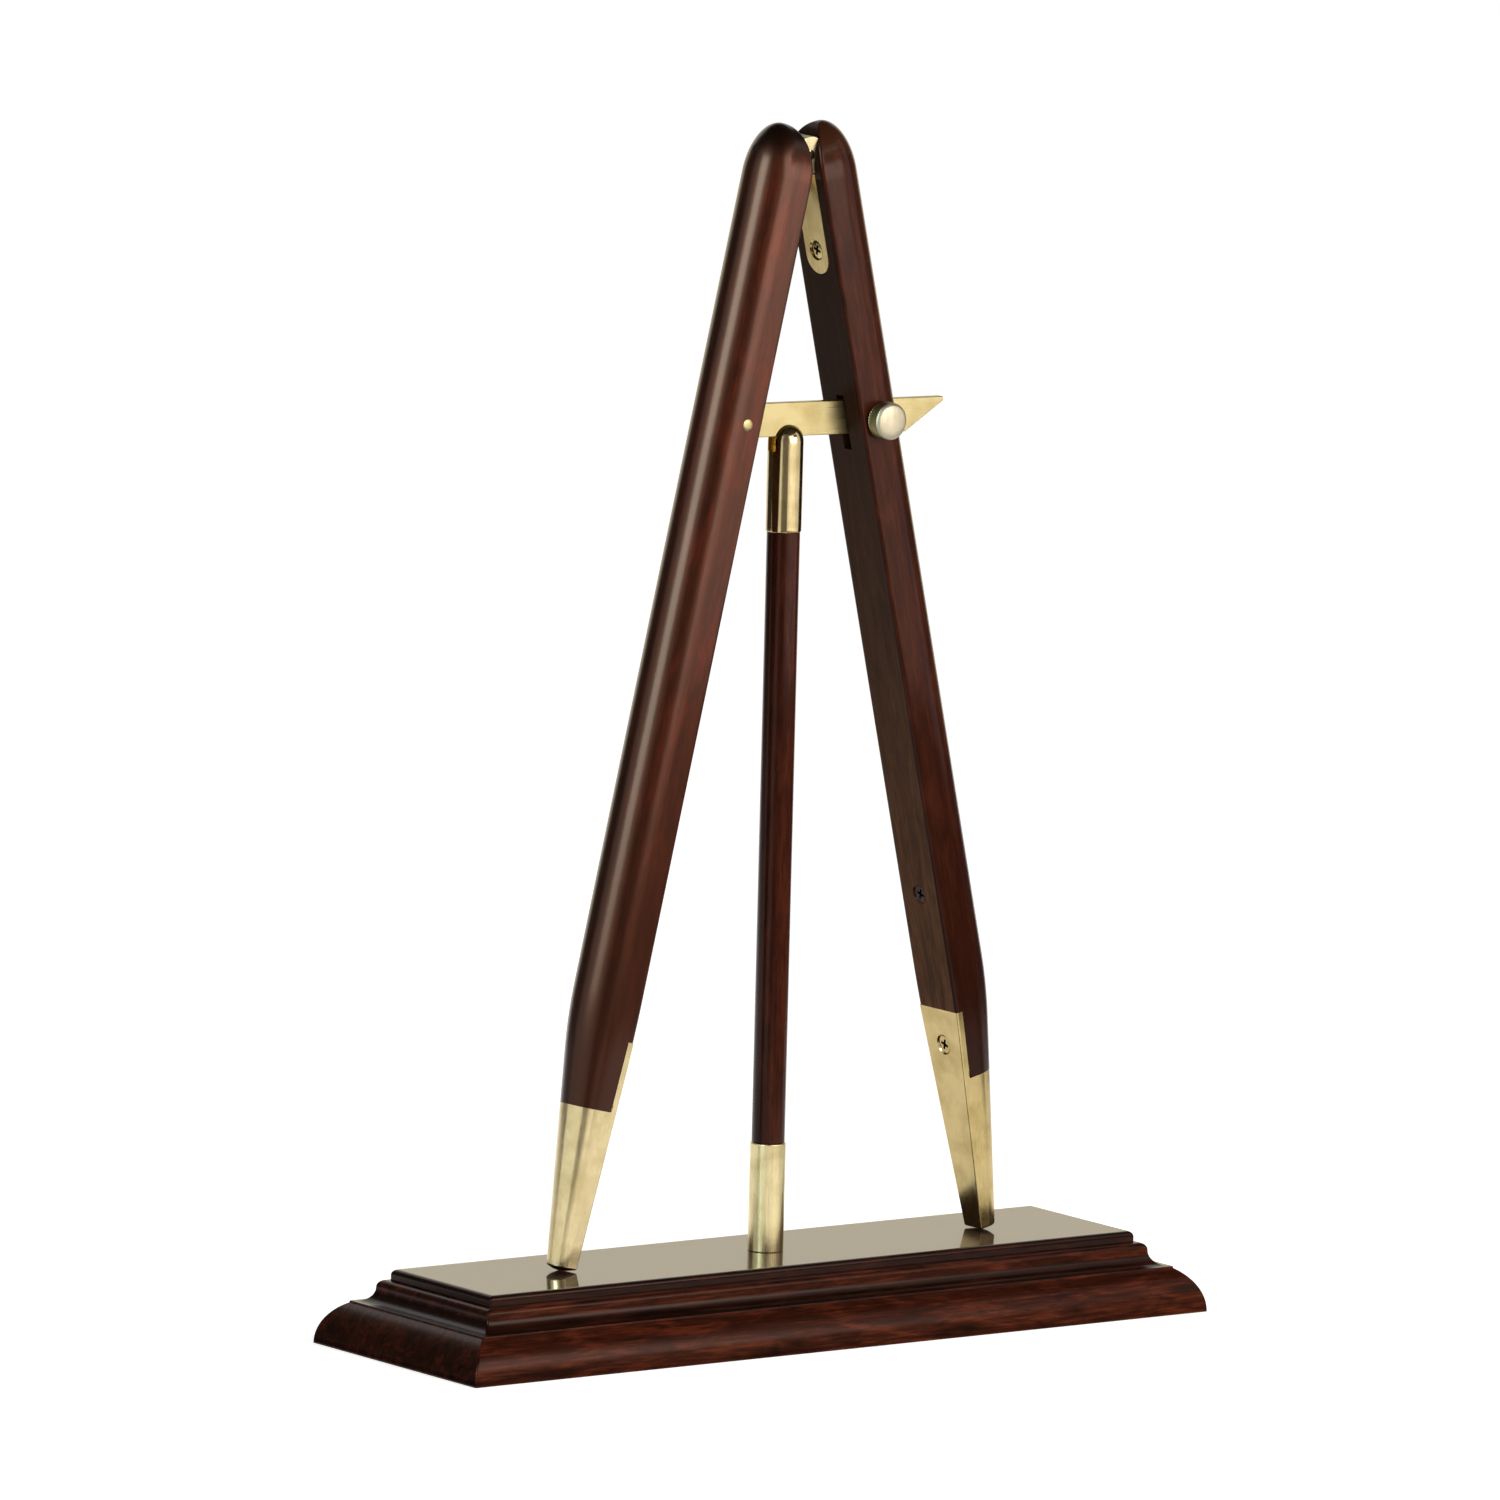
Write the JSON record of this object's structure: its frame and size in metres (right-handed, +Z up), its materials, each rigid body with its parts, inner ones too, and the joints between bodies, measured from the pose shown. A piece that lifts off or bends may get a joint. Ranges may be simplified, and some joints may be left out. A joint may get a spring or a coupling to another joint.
{
  "type": "miniature pace stick on a plinth",
  "caption": "Miniature pace stick: hinged wooden dividers with brass shoes and a clamped stay bar, held upright by a forked rod on a moulded plinth.",
  "frame": {"origin": "centre of the plinth's underside", "axes": "+X along the plinth towards the thumbscrew side, +Y to the back, +Z up"},
  "size_m": [0.226, 0.071, 0.3047],
  "materials": {
    "mahogany": "varnished",
    "brass": "polished",
    "dark_steel": "blackened"
  },
  "bodies": {
    "stand": {"base_plinth": "mahogany", "centre_rod": "mahogany", "rod_ferrule": "brass", "rod_cap": "brass", "rod_fixing_screw": "dark_steel"},
    "hinge": {"hinge_pin": "brass"},
    "left_leg": {"left_leg": "mahogany", "left_hinge_leaf": "brass", "left_leaf_screw": "brass", "left_shoe": "brass", "left_shoe_screw": "brass", "stay_pivot_pin": "brass"},
    "right_leg": {"right_leg": "mahogany", "right_hinge_leaf": "brass", "right_leaf_screw": "brass", "right_shoe": "brass", "right_shoe_screw": "brass", "inner_face_screw": "dark_steel", "clamp_bush": "brass"},
    "stay_bar": {"stay_bar": "brass"},
    "thumbscrew": {"thumbscrew": "brass"}
  },
  "joints": [
    {"name": "stick_lift", "type": "slide", "parent": "stand", "child": "hinge", "axis": [0, 0, 1], "range_m": [0, 0.25]},
    {"name": "left_leg_hinge", "type": "hinge", "parent": "hinge", "child": "left_leg", "pos_m": [0.0021, 0, 0.2967], "axis": [0, -1, 0], "range_deg": [0, 12.71]},
    {"name": "right_leg_hinge", "type": "hinge", "parent": "hinge", "child": "right_leg", "pos_m": [0.0021, 0, 0.2967], "axis": [0, 1, 0], "range_deg": [0, 12.71]},
    {"name": "stay_bar_pivot", "type": "hinge", "parent": "left_leg", "child": "stay_bar", "pos_m": [-0.01768, 0, 0.23053], "axis": [0, 1, 0], "range_deg": [0, 12.71]},
    {"name": "thumbscrew_turn", "type": "hinge", "parent": "right_leg", "child": "thumbscrew", "pos_m": [0.02365, -0.0086, 0.2295], "axis": [0, -1, 0], "range_deg": [0, 360]}
  ],
  "couplings": [
    {"joint": "left_leg_hinge", "follows": "stick_lift", "rad_per_m": 0.88663},
    {"joint": "right_leg_hinge", "follows": "stick_lift", "rad_per_m": 0.88663},
    {"joint": "stay_bar_pivot", "follows": "stick_lift", "rad_per_m": 0.88663}
  ]
}
